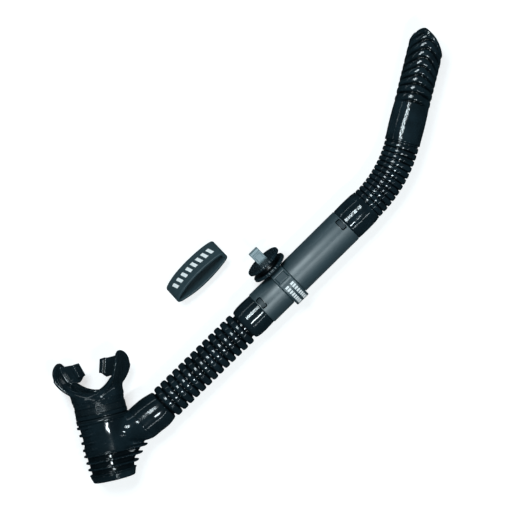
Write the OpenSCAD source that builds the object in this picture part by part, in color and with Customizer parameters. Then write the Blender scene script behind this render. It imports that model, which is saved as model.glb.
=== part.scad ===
// Two-joint snorkel with a purge chamber, a swivelling mask clip and a strap keeper.
// The snorkel lies flat. X runs along the barrel towards the tip, Y towards the mouthpiece's side
// and Z up. The origin is on the barrel's axis, at the middle of the clip ring.

/* [Barrel] */
// Outside diameter of the rigid barrel
barrel_d = 27.8; // [26.5:0.1:29]
// Wall thickness of the barrel
barrel_wall = 2.1; // [1.9:0.1:2.5]
// Length of the barrel below the clip ring's centre
barrel_below = 27; // [24:0.5:60]
// Length of the barrel above the clip ring's centre
barrel_above = 62; // [40:0.5:90]
// Distance from each end of the barrel to the middle of its lock window
window_inset = 3; // [2.8:0.1:4]
// Turn of the lock windows from the top of the barrel, towards the clip's side
window_turn = 14.5; // [0:0.5:40]

/* [Mask clip] */
// Width of the clip ring along the barrel
ring_w = 11.6; // [10:0.1:14]
// Outside diameter of the clip ring
ring_d = 34.2; // [33.6:0.1:34.4]
// Lift of the stud's axis above the plane that the snorkel lies in
stud_lift = 15; // [0:1:40]
// Width of the square stud
stud_w = 8.2; // [6:0.1:9]
// Distance from the barrel's axis to the stud's outer end
stud_reach = 36.6; // [30:0.1:40]
// Diameter of the spool's flanges
spool_d = 28.8; // [24:0.1:30]
// Distance between the middles of the spool's two flanges
spool_groove = 6.4; // [5:0.1:8]

/* [Lower flex tube] */
// Number of corrugation rings
lower_rings = 13; // [8:1:16]
// Distance from one ring to the next
lower_pitch = 6.27; // [5:0.01:7]
// Outside diameter of the rings
lower_ring_d = 27.2; // [26:0.1:28]
// Outside diameter at the bottom of the grooves
lower_core_d = 19.7; // [19.4:0.1:22]
// Length of the smooth cuff that meets the barrel
lower_cuff_l = 18; // [15:0.5:30]

/* [Upper flex tube] */
// Number of corrugation rings
upper_rings = 12; // [8:1:14]
// Radius of the bend's centreline
bend_r = 98.5; // [80:0.5:140]
// Angle that the bend turns through
bend_angle = 31.4; // [20:0.1:40]
// Outside diameter of the rings
upper_ring_d = 26.2; // [25:0.1:27]
// Length of the smooth cuff that meets the barrel
upper_cuff_l = 22; // [16:0.5:30]

/* [Tip] */
// Diameter of the textured part of the top tube
tip_d = 26.2; // [25.5:0.1:27]
// Bore of the top tube
tip_bore_d = 21; // [20.4:0.1:22]
// Length of the top tube on its axis
tip_l = 83; // [60:0.5:110]
// Slant of the open end from square
tip_slant = 29; // [0:1:40]
// Radius of the convex curve of the open end
tip_curve_r = 45; // [40:1:100]

/* [Chamber] */
// Angle from the barrel's axis to the chamber's axis
chamber_angle = 58.6; // [50:0.1:70]
// Distance from the chamber's foot to the collar
chamber_l = 46.5; // [42:0.5:50]
// Diameter of the lower fins at the foot
fin_d = 35.6; // [34:0.1:37]
// Distance between two fins
fin_pitch = 5; // [4.5:0.1:5.5]
// Thickness of a fin
fin_t = 1.5; // [1:0.1:2]
// Diameter of the side arm and its cuff
arm_d = 29; // [28:0.1:30]

/* [Mouthpiece] */
// Turn of the mouthpiece about its neck
mouthpiece_turn = 20; // [0:1:30]
// Width of the lip flange
lip_w = 54.4; // [52:0.1:56]
// Height of the lip flange
lip_h = 29; // [26:0.5:32]
// Thickness of the lip flange
lip_t = 2.4; // [2:0.1:3]
// Diameter of the neck
neck_d = 39.4; // [38.8:0.1:40]
// Gap between the two bite tabs at their lower ends
bite_gap = 16; // [14:0.1:18]

/* [Purge valve] */
// Diameter of the purge flap
flap_d = 24.4; // [20:0.1:25]
// Distance that the flap lifts off its seat
flap_lift = 1.5; // [1:0.1:1.6]

/* [Strap keeper] */
// Length of the keeper's loop
band_l = 51; // [44:0.5:56]
// Depth of the loop from front to back
band_depth = 14.4; // [12:0.1:18]
// Width of the keeper's strip
band_w = 18; // [14:0.5:20]
// Thickness of the strip
band_t = 2; // [1.5:0.1:2.4]

/* [Hidden] */
$fn = 96;

silicone = [0.05, 0.07, 0.08];
slate = [0.45, 0.52, 0.56];
pale_grey = [0.66, 0.71, 0.73];
rubber = [0.04, 0.04, 0.04];
nylon = [0.10, 0.12, 0.13];
band_grey = [0.26, 0.32, 0.35];

fit = 0.05;                        // gap between pieces that are pushed together
gap = 0.3;                         // gap between pieces that move past each other
eps = 1;                           // how far a cutter runs past a face

barrel_r = barrel_d / 2;
barrel_bore_r = barrel_r - barrel_wall;
groove_r = barrel_r - 0.7;         // floor of the groove that the clip ring turns in
ring_bore_r = groove_r + gap;
window_size = [3.9, 8, 1];         // along the barrel, around it, corner radius
tab_top = barrel_r - 0.4;          // the lock tabs sit just below the barrel's surface
tab_t = 2.6;

coupling_r = barrel_bore_r - fit;
coupling_bore_r = coupling_r - 1.4;
coupling_depth = 15;               // how far a coupling goes into the barrel
coupling_grip = 13;                // how far it goes into a cuff

flange_t = 2.4;
flange_1 = ring_d / 2 + gap + flange_t / 2;
flange_2 = flange_1 + spool_groove;
spool_core_r = 9.5;
spool_x = -1.5;
stud_pin_r = 2.5;
stud_foot_r = 4;
stud_t = 6;                        // the stud's thickness across the plane of the snorkel

cuff_r = lower_ring_d / 2;
lower_bore_r = lower_core_d / 2 - 1.4;
lower_rings_x = -barrel_below - lower_cuff_l - 1.9;
lower_end_x = lower_rings_x - lower_rings * lower_pitch - 1.2;
lower_ring_w = 4.4;
seam_x = lower_end_x - 21;         // seam between the arm cuff and the chamber

bend_x = barrel_above + upper_cuff_l;
upper_core_r = upper_ring_d / 2 - 0.7;
tip_bore_r = tip_bore_d / 2;
tip_base = [bend_x + bend_r * sin(bend_angle), bend_r * (1 - cos(bend_angle)), 0];

foot = [seam_x - 44.4, -13.5, 0];  // centre of the chamber's foot
neck_shift = 1.4;                  // the neck's axis lies this far to the arm's side of the foot
core_step = 1.8;                   // how far the fins stand out of the wall
chamber_bore_r = 14.3;
arm_bore_r = 11;
foot_h = 5;                        // height of the purge cover
neck_r = neck_d / 2;
lip_s = 79;                        // middle of the lip flange's wings above the foot
bend_s = 91;                       // centre of the flange's curve above the foot
lip_r = lip_w / 2;

band_centre = [-43, 54, 0];
band_tilt = 45;
// the surface that it lies on: a little under the lower wing of the lip flange
floor_z = -(0.92 * lip_r * sin(mouthpiece_turn) + lip_h / 2 * cos(mouthpiece_turn));

// ---- helpers ----

module along_x(x) {
    translate([x, 0, 0]) rotate([0, 90, 0]) children();
}

// Hollow cylinder along X, from x0 to x1
module sleeve_x(x0, x1, r_out, r_in) {
    difference() {
        along_x(x0) cylinder(r = r_out, h = x1 - x0);
        along_x(x0 - eps) cylinder(r = r_in, h = x1 - x0 + 2 * eps);
    }
}

// The chamber's own frame: its Y runs up the chamber's axis, its X to the arm's side
module at_chamber(shift = 0) {
    translate(foot) rotate([0, 0, chamber_angle - 90]) translate([shift, 0, 0]) children();
}

// A disc or column up the chamber's axis, from s0 to s1
module column(s0, s1, r, r_top = -1) {
    translate([0, s0, 0]) rotate([-90, 0, 0])
        cylinder(r1 = r, r2 = r_top < 0 ? r : r_top, h = s1 - s0);
}

// The tip's own frame: its X runs along the top tube
module at_tip() {
    translate(tip_base) rotate([0, 0, bend_angle]) children();
}

// The stud's own frame: its Y runs out along the stud
module at_stud() {
    rotate([stud_lift, 0, 0]) translate([spool_x, 0, 0]) children();
}

// A lock window's own frame: its Z runs out through the window
module at_window(x) {
    translate([x, 0, 0]) rotate([-window_turn, 0, 0]) children();
}

// Rectangle with round corners
module round_rectangle(w, l, r) {
    square([w - 2 * r, l], center = true);
    square([w, l - 2 * r], center = true);
    for (x = [-1, 1], y = [-1, 1])
        translate([x * (w / 2 - r), y * (l / 2 - r)]) circle(r = r);
}

// Outline of a round with a smaller round beside it, joined by straight tangents
module egg(r1, r2, d) {
    tangent = acos((r1 - r2) / d);
    circle(r = r1);
    translate([d, 0]) circle(r = r2);
    polygon([
        [r1 * cos(tangent), r1 * sin(tangent)],
        [d + r2 * cos(tangent), r2 * sin(tangent)],
        [d + r2 * cos(tangent), -r2 * sin(tangent)],
        [r1 * cos(tangent), -r1 * sin(tangent)]
    ]);
}

// ---- barrel and couplings ----

module lock_window(x, grow) {
    at_window(x) linear_extrude(barrel_r + eps)
        round_rectangle(window_size[0] + grow, window_size[1] + grow, window_size[2]);
}

module lock_tab(x) {
    color(nylon) intersection() {
        at_window(x) translate([0, 0, tab_top - tab_t]) linear_extrude(tab_t)
            round_rectangle(window_size[0] - 2 * gap, window_size[1] - 2 * gap, window_size[2] - gap);
        along_x(x - window_size[0]) cylinder(r = tab_top, h = 2 * window_size[0]);
    }
}

module barrel() {
    color(slate) difference() {
        sleeve_x(-barrel_below, barrel_above, barrel_r, barrel_bore_r);
        sleeve_x(-ring_w / 2 - gap, ring_w / 2 + gap, barrel_r + eps, groove_r);
        lock_window(-barrel_below + window_inset, 0);
        lock_window(barrel_above - window_inset, 0);
    }
}

module lower_coupling() {
    color(nylon) difference() {
        sleeve_x(-barrel_below - coupling_grip, -barrel_below + coupling_depth,
                 coupling_r, coupling_bore_r);
        lock_window(-barrel_below + window_inset, 0);
    }
}

module upper_coupling() {
    color(nylon) difference() {
        sleeve_x(barrel_above - coupling_depth, barrel_above + coupling_grip,
                 coupling_r, coupling_bore_r);
        lock_window(barrel_above - window_inset, 0);
    }
}

module lower_lock_tab() {
    lock_tab(-barrel_below + window_inset);
}

module upper_lock_tab() {
    lock_tab(barrel_above - window_inset);
}

// ---- mask clip ----

module clip_ring() {
    facet_turn = 67;
    color(slate) difference() {
        sleeve_x(-ring_w / 2, ring_w / 2, ring_d / 2, ring_bore_r);
        // flat facet beside the spool
        rotate([facet_turn, 0, 0]) translate([-ring_w, ring_d / 2 - 0.5, -10])
            cube([2 * ring_w, 5, 20]);
        // hole and counterbore for the stud's foot
        at_stud() column(0, ring_d, stud_pin_r + fit);
        at_stud() column(0, 14.9, stud_foot_r + gap);
    }
}

module spool_stud() {
    color(pale_grey) at_stud() {
        column(ring_bore_r + 0.2, 14.7, stud_foot_r);
        column(14.7, flange_1 - flange_t / 2, stud_pin_r);
        translate([-stud_w / 2, flange_1 - flange_t / 2, -stud_t / 2])
            cube([stud_w, stud_reach - flange_1 + flange_t / 2, stud_t]);
    }
}

module clip_spool() {
    color(rubber) at_stud() difference() {
        union() {
            for (d = [flange_1, flange_2])
                column(d - flange_t / 2, d + flange_t / 2, spool_d / 2);
            column(flange_1, flange_2, spool_core_r);
        }
        translate([-stud_w / 2, 0, -stud_t / 2]) cube([stud_w, 2 * ring_d, stud_t]);
    }
}

// ---- lower flex tube ----

module lower_flex_tube() {
    color(silicone) difference() {
        union() {
            along_x(-barrel_below - lower_cuff_l) cylinder(r = cuff_r, h = lower_cuff_l);
            along_x(lower_end_x)
                cylinder(r = lower_core_d / 2, h = -barrel_below - lower_cuff_l - lower_end_x + eps);
            for (i = [0 : lower_rings - 1])
                along_x(lower_rings_x - i * lower_pitch - lower_pitch / 2 - lower_ring_w / 2)
                    cylinder(r = lower_ring_d / 2, h = lower_ring_w);
        }
        along_x(lower_end_x - eps) cylinder(r = lower_bore_r, h = -lower_end_x);
        along_x(-barrel_below - coupling_grip) cylinder(r = coupling_r + fit, h = coupling_grip + eps);
    }
}

module arm_cuff() {
    color(silicone) difference() {
        sleeve_x(seam_x, lower_end_x, arm_d / 2, arm_bore_r);
        along_x(lower_end_x - 3) cylinder(r1 = arm_bore_r, r2 = arm_bore_r + 0.8, h = 3 + fit);
    }
}

module arm_spigot() {
    color(nylon) difference() {
        union() {
            along_x(seam_x - 4) cylinder(r = arm_bore_r - fit, h = lower_end_x - seam_x + 1);
            along_x(lower_end_x - 4) cylinder(r = lower_bore_r - fit, h = 14);
        }
        along_x(seam_x - 5) cylinder(r = lower_bore_r - 1.2, h = 60);
    }
}

// ---- upper flex tube and tip ----

// Part of a ring around the bend's centre, of tube radius r, from angle a0 for angle a
module bend_piece(r, a0, a) {
    translate([bend_x, bend_r, 0]) rotate([0, 0, a0 - 90])
        rotate_extrude(angle = a) translate([bend_r, 0]) circle(r = r);
}

module upper_flex_tube() {
    ring_step = bend_angle / upper_rings;
    color(silicone) difference() {
        union() {
            along_x(barrel_above) cylinder(r = cuff_r, h = upper_cuff_l);
            bend_piece(upper_core_r, 0, bend_angle);
            for (i = [0 : upper_rings - 1])
                bend_piece(upper_ring_d / 2, (i + 0.2) * ring_step, 0.6 * ring_step);
        }
        along_x(barrel_above - eps) cylinder(r = tip_bore_r, h = upper_cuff_l + eps);
        along_x(barrel_above - eps) cylinder(r = coupling_r + fit, h = coupling_grip + eps);
        bend_piece(tip_bore_r, 0, bend_angle);
    }
}

module top_ferrule() {
    color(nylon) at_tip() sleeve_x(0.4, 14, tip_bore_r - fit, tip_bore_r - 1);
}

// Radius of the top tube at the distance u from its base: a smooth swelling, then straight
function tip_r(u) = tip_d / 2 + (u < 30 ? 0.5 * sin(180 * u / 30) : 0);

module top_tube() {
    half = tip_d / 2;
    reach = tip_l + half * tan(tip_slant);
    curve_x = tip_l - 1.5 - tip_curve_r * cos(tip_slant);
    color(silicone) at_tip() translate([fit, 0, 0]) difference() {
        intersection() {
            rotate([0, 90, 0]) rotate_extrude()
                polygon(concat([[0, 0]], [for (u = [0 : 5 : 30]) [tip_r(u), u]],
                               [[half, reach], [0, reach]]));
            // the slanted, slightly convex open end
            union() {
                translate([curve_x, tip_curve_r * sin(tip_slant), -half - 1])
                    cylinder(r = tip_curve_r, h = tip_d + 2, $fn = 200);
                translate([-1, -half - 1, -half - 1])
                    cube([curve_x + 1, tip_d + 2, tip_d + 2]);
            }
        }
        along_x(-eps) cylinder(r = tip_bore_r, h = 2 * reach);
    }
}

// ---- chamber ----

// Fin k, or with inset > 0 the wall beside it: round at the foot, wider to the arm's side higher up
module fin_outline(k, inset) {
    right = fin_d / 2 + 0.4 + 12 * pow(k / 3, 1.3);
    r1 = fin_d / 2 + 0.3 * k - inset;
    r2 = fin_d / 2 - 2.6 * k - inset;
    if (k == 0) circle(r = r1);
    else egg(r1, r2, right - inset - r2);
}

module fin_plate(k, s, t, inset) {
    translate([0, s, 0]) rotate([-90, 0, 0]) linear_extrude(t) fin_outline(k, inset);
}

module chamber_shell() {
    top_fin_s = foot_h + 3 * fin_pitch;
    at_chamber() {
        for (k = [0 : 3])
            fin_plate(k, foot_h + k * fin_pitch, fin_t, 0);
        for (k = [0 : 2])
            fin_plate(k, foot_h + k * fin_pitch + fin_t / 2, fin_pitch, core_step);
    }
    at_chamber(neck_shift) {
        column(top_fin_s, chamber_l, neck_r - 1.8, neck_r - 0.8);
        column(chamber_l - 3, chamber_l, neck_r);
        // short fins on the side away from the arm
        for (k = [1 : 4])
            intersection() {
                column(top_fin_s + k * 1.1 * fin_pitch, top_fin_s + k * 1.1 * fin_pitch + fin_t, neck_r);
                translate([-30, 0, -30]) cube([22, 60, 60]);
            }
    }
    along_x(seam_x - 22) cylinder(r = arm_d / 2 - 0.2, h = 22);
}

module chamber_body() {
    color(silicone) difference() {
        chamber_shell();
        at_chamber() column(foot_h - eps, 30, chamber_bore_r);
        at_chamber(neck_shift) column(26, chamber_l + eps, chamber_bore_r);
        along_x(seam_x - 24) cylinder(r = arm_bore_r, h = 24 + eps);
    }
}

module neck_spigot() {
    color(nylon) at_chamber(neck_shift) difference() {
        union() {
            column(36, chamber_l, chamber_bore_r - fit);
            column(chamber_l, chamber_l + 1.2, neck_r + 0.4);
            column(chamber_l, chamber_l + 11, 15.5);
        }
        column(35, 60, 13);
    }
}

module purge_seat() {
    color(nylon) at_chamber() difference() {
        column(foot_h + 1.2, foot_h + 2.8, chamber_bore_r - fit);
        column(0, 20, 1.7);
        for (a = [0 : 60 : 300])
            rotate([0, a, 0]) translate([7.2, 0, 0]) column(0, 20, 2.9);
    }
}

module purge_flap() {
    color(silicone) at_chamber() {
        column(foot_h + 0.3, foot_h + 1.1, flap_d / 2);
        column(foot_h + 1, foot_h + 5, 1.4);
        column(foot_h + 4.8, foot_h + 6.6, 2.4, 1);
    }
}

module purge_cover() {
    plate_t = 2;
    color(silicone) at_chamber() difference() {
        union() {
            column(0, 1, fin_d / 2 - 2, fin_d / 2 - 1.3);
            column(1, foot_h, fin_d / 2 - 1.3, fin_d / 2);
        }
        column(plate_t, foot_h + eps, chamber_bore_r - 0.8);
        for (a = [0 : 45 : 315])
            rotate([0, a, 0]) translate([5, -eps, -1.3]) cube([7.5, foot_h, 2.6]);
    }
}

// ---- mouthpiece ----

// The mouthpiece's own frame: the chamber's, moved to the neck's axis and turned about it
module at_mouthpiece() {
    at_chamber(neck_shift) rotate([0, -mouthpiece_turn, 0]) children();
}

// Flat ledge along the inside of a wing, with a raised lip at its inner edge
module bite_tab() {
    inner = bite_gap / 2;
    linear_edge = [[inner, lip_s + 1], [inner + 3.2, lip_s + 11]];
    intersection() {
        translate([0, 0, -2.2]) linear_extrude(4.4)
            polygon(concat(linear_edge, [[inner + 22, lip_s + 11], [inner + 14, lip_s - 3],
                                         [inner + 4.5, lip_s - 2.5]]));
        translate([0, bend_s, -lip_h]) cylinder(r = lip_r - 1, h = 2 * lip_h);
    }
    translate([0, 0, -5]) linear_extrude(10)
        polygon(concat(linear_edge, [linear_edge[1] + [2.6, 0], linear_edge[0] + [2.6, 0]]));
}

// Plate bent round the teeth, with rounded wings
module lip_flange() {
    intersection() {
        translate([0, bend_s, -lip_h]) linear_extrude(2 * lip_h) difference() {
            circle(r = lip_r);
            circle(r = lip_r - lip_t);
            translate([-lip_w, 3]) square([2 * lip_w, lip_w]);
        }
        union() {
            translate([-lip_w, lip_s, 0]) rotate([0, 90, 0]) cylinder(r = lip_h / 2, h = 2 * lip_w);
            translate([-lip_w, lip_s - 20, 1 - lip_h / 2]) cube([2 * lip_w, 20, lip_h - 2]);
        }
    }
}

// Neck: round at the collar, narrowing in height to meet the lip flange
module mouthpiece_neck() {
    narrow = lip_h / 2 - 1.5;
    difference() {
        intersection() {
            column(chamber_l + 1.5, 72, neck_r);
            translate([-neck_d, 0, 0]) rotate([90, 0, 90]) linear_extrude(2 * neck_d)
                polygon([[chamber_l, -neck_d], [chamber_l, neck_d], [57, neck_r], [66, narrow],
                         [72, narrow], [72, -narrow], [66, -narrow], [57, -neck_r]]);
        }
        translate([0, bend_s, -lip_h]) cylinder(r = lip_r - lip_t, h = 2 * lip_h);
    }
}

module mouthpiece() {
    socket_top = chamber_l + 11.5;
    color(silicone) at_mouthpiece() difference() {
        union() {
            mouthpiece_neck();
            lip_flange();
            bite_tab();
            mirror([1, 0, 0]) bite_tab();
        }
        column(chamber_l, socket_top, 15.5 + gap);
        column(50, 72, 9);
        difference() {
            column(51.5, 56.5, neck_r + eps);
            column(51, 57, neck_r - 1);
        }
    }
}

module mouthpiece_clamp() {
    color(nylon) at_chamber(neck_shift) difference() {
        column(51.8, 56.2, neck_r + 0.1);
        column(51, 57, neck_r - 1 + fit);
    }
}

// ---- strap keeper ----

// Point of the keeper's outline at angle a: a long round loop with a dent at its +X end
function band_point(a, inset) =
    let (
        x = (band_l / 2 - inset) * cos(a),
        y = (band_depth / 2 - inset) * sin(a) * (1 - 0.12 * cos(a)),
        dent = 2.2 * pow(max(0, cos(a)), 40)
    ) [x - dent, y];

module strap_band() {
    outer = [for (a = [0 : 5 : 355]) band_point(a, 0)];
    inner = [for (a = [0 : 5 : 355]) band_point(a, band_t)];
    half_height = (band_w * cos(band_tilt) + band_depth * sin(band_tilt)) / 2;
    color(band_grey) translate([band_centre[0], band_centre[1], floor_z + half_height])
        rotate([band_tilt, 0, 0]) translate([0, 0, -band_w / 2]) linear_extrude(band_w)
            difference() {
                polygon(outer);
                polygon(inner);
            }
}

mouthpiece();
mouthpiece_clamp();
neck_spigot();
chamber_body();
purge_seat();
purge_flap();
purge_cover();
arm_cuff();
arm_spigot();
lower_flex_tube();
lower_coupling();
lower_lock_tab();
barrel();
clip_ring();
spool_stud();
clip_spool();
upper_coupling();
upper_lock_tab();
upper_flex_tube();
top_ferrule();
top_tube();
strap_band();
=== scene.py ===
import math

import bpy
import numpy as np
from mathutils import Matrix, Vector


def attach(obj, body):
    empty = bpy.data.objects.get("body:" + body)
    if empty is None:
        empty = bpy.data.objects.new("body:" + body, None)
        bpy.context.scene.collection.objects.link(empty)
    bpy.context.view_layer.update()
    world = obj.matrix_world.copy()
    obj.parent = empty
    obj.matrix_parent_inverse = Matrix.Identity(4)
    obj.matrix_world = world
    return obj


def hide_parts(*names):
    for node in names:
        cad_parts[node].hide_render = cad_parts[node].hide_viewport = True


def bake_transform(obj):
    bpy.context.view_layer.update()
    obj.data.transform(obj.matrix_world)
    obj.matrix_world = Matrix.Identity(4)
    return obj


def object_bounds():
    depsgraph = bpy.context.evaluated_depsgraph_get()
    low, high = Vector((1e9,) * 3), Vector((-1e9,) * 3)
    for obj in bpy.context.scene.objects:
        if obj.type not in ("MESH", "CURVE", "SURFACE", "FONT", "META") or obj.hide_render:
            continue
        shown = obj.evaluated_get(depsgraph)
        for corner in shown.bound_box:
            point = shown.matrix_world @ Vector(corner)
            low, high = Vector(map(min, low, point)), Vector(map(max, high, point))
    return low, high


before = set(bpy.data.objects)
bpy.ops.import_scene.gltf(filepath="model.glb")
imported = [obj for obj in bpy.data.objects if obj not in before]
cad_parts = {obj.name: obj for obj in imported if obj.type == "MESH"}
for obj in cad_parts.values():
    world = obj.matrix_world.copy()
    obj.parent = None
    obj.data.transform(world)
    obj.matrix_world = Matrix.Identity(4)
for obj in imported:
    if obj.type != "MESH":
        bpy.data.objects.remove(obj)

rest_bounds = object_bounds()

MM = 0.001

# ---------------------------------------------------------------- camera

cam_data = bpy.data.cameras.new("camera")
cam_data.type = "PERSP"
cam_data.lens = 140.6
cam_data.sensor_width = 36.0
cam_data.clip_end = 10.0
camera = bpy.data.objects.new("camera", cam_data)
bpy.context.scene.collection.objects.link(camera)
camera.location = (-0.0024, 0.0310, 1.5)
camera.rotation_euler = (0.0, 0.0, math.radians(-44.6))
bpy.context.scene.camera = camera

# ---------------------------------------------------------------- materials

DUST_COLOR = (0.2, 0.28, 0.32)
# near black: the colour of the shade painted into grooves
PAINTED_GROOVE_SHADE = (0.0008, 0.0014, 0.002)
GRAIN_DEPTH, WAVE_DEPTH = 0.0002, 0.002


def material(
    name,
    color,
    rough,
    vary=0.25,
    rough_vary=0.08,
    grain=900.0,
    bump=0.1,
    broad=40.0,
    dust=0.0,
    scuff=0.0,
    ior=1.5,
    waves=0.0,
    paint_groove_shade=False,
):
    """A moulded surface: slow colour drift, uneven polish, fine grain, scuffs, a little dust and,
    where asked, painted shade in grooves.
    """
    m = bpy.data.materials.new(name)
    m.use_nodes = True
    nt = m.node_tree
    nt.nodes.clear()
    link = nt.links.new

    def node(kind, **values):
        n = nt.nodes.new(kind)
        for key, value in values.items():
            setattr(n, key, value)
        return n

    out = node("ShaderNodeOutputMaterial")
    shader = node("ShaderNodeBsdfPrincipled")
    shader.inputs["IOR"].default_value = ior
    link(shader.outputs[0], out.inputs[0])
    where = node("ShaderNodeTexCoord")

    def noise(scale, detail=4.0, stretch=None):
        n = node("ShaderNodeTexNoise")
        n.inputs["Scale"].default_value = scale
        n.inputs["Detail"].default_value = detail
        if stretch:
            spread = node("ShaderNodeMapping")
            spread.inputs["Scale"].default_value = stretch
            link(where.outputs["Object"], spread.inputs["Vector"])
            link(spread.outputs[0], n.inputs["Vector"])
        else:
            link(where.outputs["Object"], n.inputs["Vector"])
        return n

    def remap(source, a, b, low=0.0, high=1.0):
        r = node("ShaderNodeMapRange")
        r.inputs["From Min"].default_value = a
        r.inputs["From Max"].default_value = b
        r.inputs["To Min"].default_value = low
        r.inputs["To Max"].default_value = high
        link(source, r.inputs["Value"])
        return r.outputs[0]

    def mix(factor, a, b):
        x = node("ShaderNodeMix", data_type="RGBA")
        link(factor, x.inputs["Factor"])
        for socket, value in ((x.inputs["A"], a), (x.inputs["B"], b)):
            if hasattr(value, "is_linked") or hasattr(value, "links"):
                link(value, socket)
            else:
                socket.default_value = (*value, 1.0)
        return x.outputs["Result"]

    slow = noise(broad, 5.0)
    dark = tuple(c * (1.0 - vary) for c in color)
    light = tuple(min(1.0, c * (1.0 + vary)) for c in color)
    tone = mix(remap(slow.outputs[0], 0.35, 0.65), dark, light)
    fine = noise(grain, 3.0)
    tone = mix(remap(fine.outputs[0], 0.3, 0.7, 0.0, 0.35), tone, light)
    # painted shade: grooves are painted darker than the crowns between them, by the mesh's groove
    # attribute
    if paint_groove_shade:
        shade_mask = node("ShaderNodeAttribute", attribute_name="groove")
        tone = mix(remap(shade_mask.outputs["Fac"], 0.0, 1.0, 0.0, 0.9), tone, PAINTED_GROOVE_SHADE)
    if dust:
        specks = noise(broad * 9.0, 8.0)
        tone = mix(remap(specks.outputs[0], 0.62, 0.8, 0.0, dust), tone, DUST_COLOR)
    link(tone, shader.inputs["Base Color"])

    smear = noise(broad * 0.6, 6.0, (1.0, 2.2, 1.0))
    gloss = remap(smear.outputs[0], 0.3, 0.7, rough - rough_vary, rough + rough_vary)
    if scuff:
        lines = noise(broad * 6.0, 2.0, (1.0, 26.0, 26.0))
        worn = remap(lines.outputs[0], 0.62, 0.72, 0.0, scuff)
        add = node("ShaderNodeMath", operation="ADD")
        link(gloss, add.inputs[0])
        link(worn, add.inputs[1])
        gloss = add.outputs[0]
    link(gloss, shader.inputs["Roughness"])

    relief = node("ShaderNodeBump")
    relief.inputs["Strength"].default_value = bump
    relief.inputs["Distance"].default_value = GRAIN_DEPTH
    link(fine.outputs[0], relief.inputs["Height"])
    normal = relief.outputs[0]
    if waves:
        swells = noise(broad * 2.2, 1.5)
        second = node("ShaderNodeBump")
        second.inputs["Strength"].default_value = waves
        second.inputs["Distance"].default_value = WAVE_DEPTH
        link(swells.outputs[0], second.inputs["Height"])
        link(normal, second.inputs["Normal"])
        normal = second.outputs[0]
    link(normal, shader.inputs["Normal"])
    return m


SILICONE = material(
    "silicone black", (0.0058, 0.0122, 0.0162), 0.12, vary=0.25, rough_vary=0.04, grain=1400.0,
    bump=0.03, broad=95.0, dust=0.02, waves=0.035, ior=1.5,
)
RIPPLED = material(
    "silicone rippled", (0.0060, 0.0128, 0.0170), 0.11, vary=0.4, rough_vary=0.03, grain=1400.0,
    bump=0.03, broad=95.0, dust=0.02, waves=0.10, ior=1.5, paint_groove_shade=True,
)
SATIN = material(
    "silicone satin", (0.0056, 0.0120, 0.0160), 0.12, vary=0.4, rough_vary=0.03, grain=1400.0,
    bump=0.04, broad=70.0, dust=0.02, waves=0.03, ior=1.5, paint_groove_shade=True,
)
SLATE = material(
    "slate plastic", (0.021, 0.046, 0.057), 0.46, vary=0.10, rough_vary=0.04, grain=2600.0,
    bump=0.10, broad=45.0, dust=0.03, scuff=0.06, ior=1.85,
)
SLATE_RING = material(
    "slate ring plastic", (0.027, 0.051, 0.062), 0.38, vary=0.07, rough_vary=0.04, grain=2600.0,
    bump=0.10, broad=60.0, dust=0.03, scuff=0.06, ior=1.55,
)
PALE = material(
    "pale plastic", (0.19, 0.26, 0.285), 0.36, vary=0.06, rough_vary=0.04, grain=2600.0,
    bump=0.10, broad=120.0, dust=0.03, scuff=0.06,
)
RUBBER = material(
    "spool rubber", (0.0085, 0.0185, 0.0245), 0.28, vary=0.4, rough_vary=0.06, grain=2200.0,
    bump=0.06, broad=90.0, dust=0.04, paint_groove_shade=True,
)
NYLON = material(
    "nylon black", (0.0065, 0.0125, 0.0160), 0.22, vary=0.25, rough_vary=0.06, grain=2000.0,
    bump=0.08, broad=90.0, dust=0.03,
)
TAB = material(
    "slate tab plastic", (0.010, 0.024, 0.032), 0.48, vary=0.08, rough_vary=0.05, grain=2600.0,
    bump=0.12, broad=90.0, ior=1.4,
)
CLEAR_GREY = material(
    "flap silicone", (0.12, 0.14, 0.15), 0.35, vary=0.12, rough_vary=0.06, grain=1500.0,
    bump=0.08, broad=90.0, dust=0.03,
)
BAND = material(
    "band silicone", (0.021, 0.045, 0.055), 0.5, vary=0.10, rough_vary=0.06, grain=2600.0,
    bump=0.18, broad=70.0, dust=0.05,
)
PRINT = material(
    "white print", (0.86, 0.88, 0.88), 0.5, vary=0.03, rough_vary=0.05, grain=2600.0,
    bump=0.1, broad=150.0, dust=0.0,
)

# ---------------------------------------------------------------- mesh helpers


def finish_piece(obj, body, node, mat=None):
    """Gives a piece its material and slot, hides the CAD node it stands in for and, if a body is
    given, puts it under that body.
    """
    if mat:
        obj.data.materials.append(mat)
    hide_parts(node)
    if body:
        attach(obj, body)


def new_mesh(name, points, faces, normals=None, sharp=None, groove=None):
    """points in millimetres. An array of quads is turned so that its faces look outwards; a list of
    faces is taken as it is. groove is how far into a groove each point lies, from 0 to 1, and sets
    how much shade is painted there."""
    points = np.asarray(points, float) * MM
    if isinstance(faces, np.ndarray):
        a, b, c, d = (points[faces[:, k]] for k in range(4))
        volume = np.einsum("ij,ij->i", a, np.cross(b, c) + np.cross(c, d)).sum()
        if volume < 0:
            faces = faces[:, ::-1]
        faces = faces.tolist()
    me = bpy.data.meshes.new(name)
    me.from_pydata(points.tolist(), [], faces)
    # painted shade: the groove attribute darkens the colour in grooves
    if groove is not None:
        layer = me.attributes.new("groove", "FLOAT", "POINT")
        layer.data.foreach_set("value", np.asarray(groove, np.float32))
    me.polygons.foreach_set("use_smooth", np.ones(len(me.polygons), bool))
    me.update()
    if sharp is not None:
        me.set_sharp_from_angle(angle=math.radians(sharp))
    if normals is not None:
        me.normals_split_custom_set_from_vertices(np.asarray(normals, float).tolist())
    obj = bpy.data.objects.new(name, me)
    bpy.context.scene.collection.objects.link(obj)
    return obj


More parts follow.
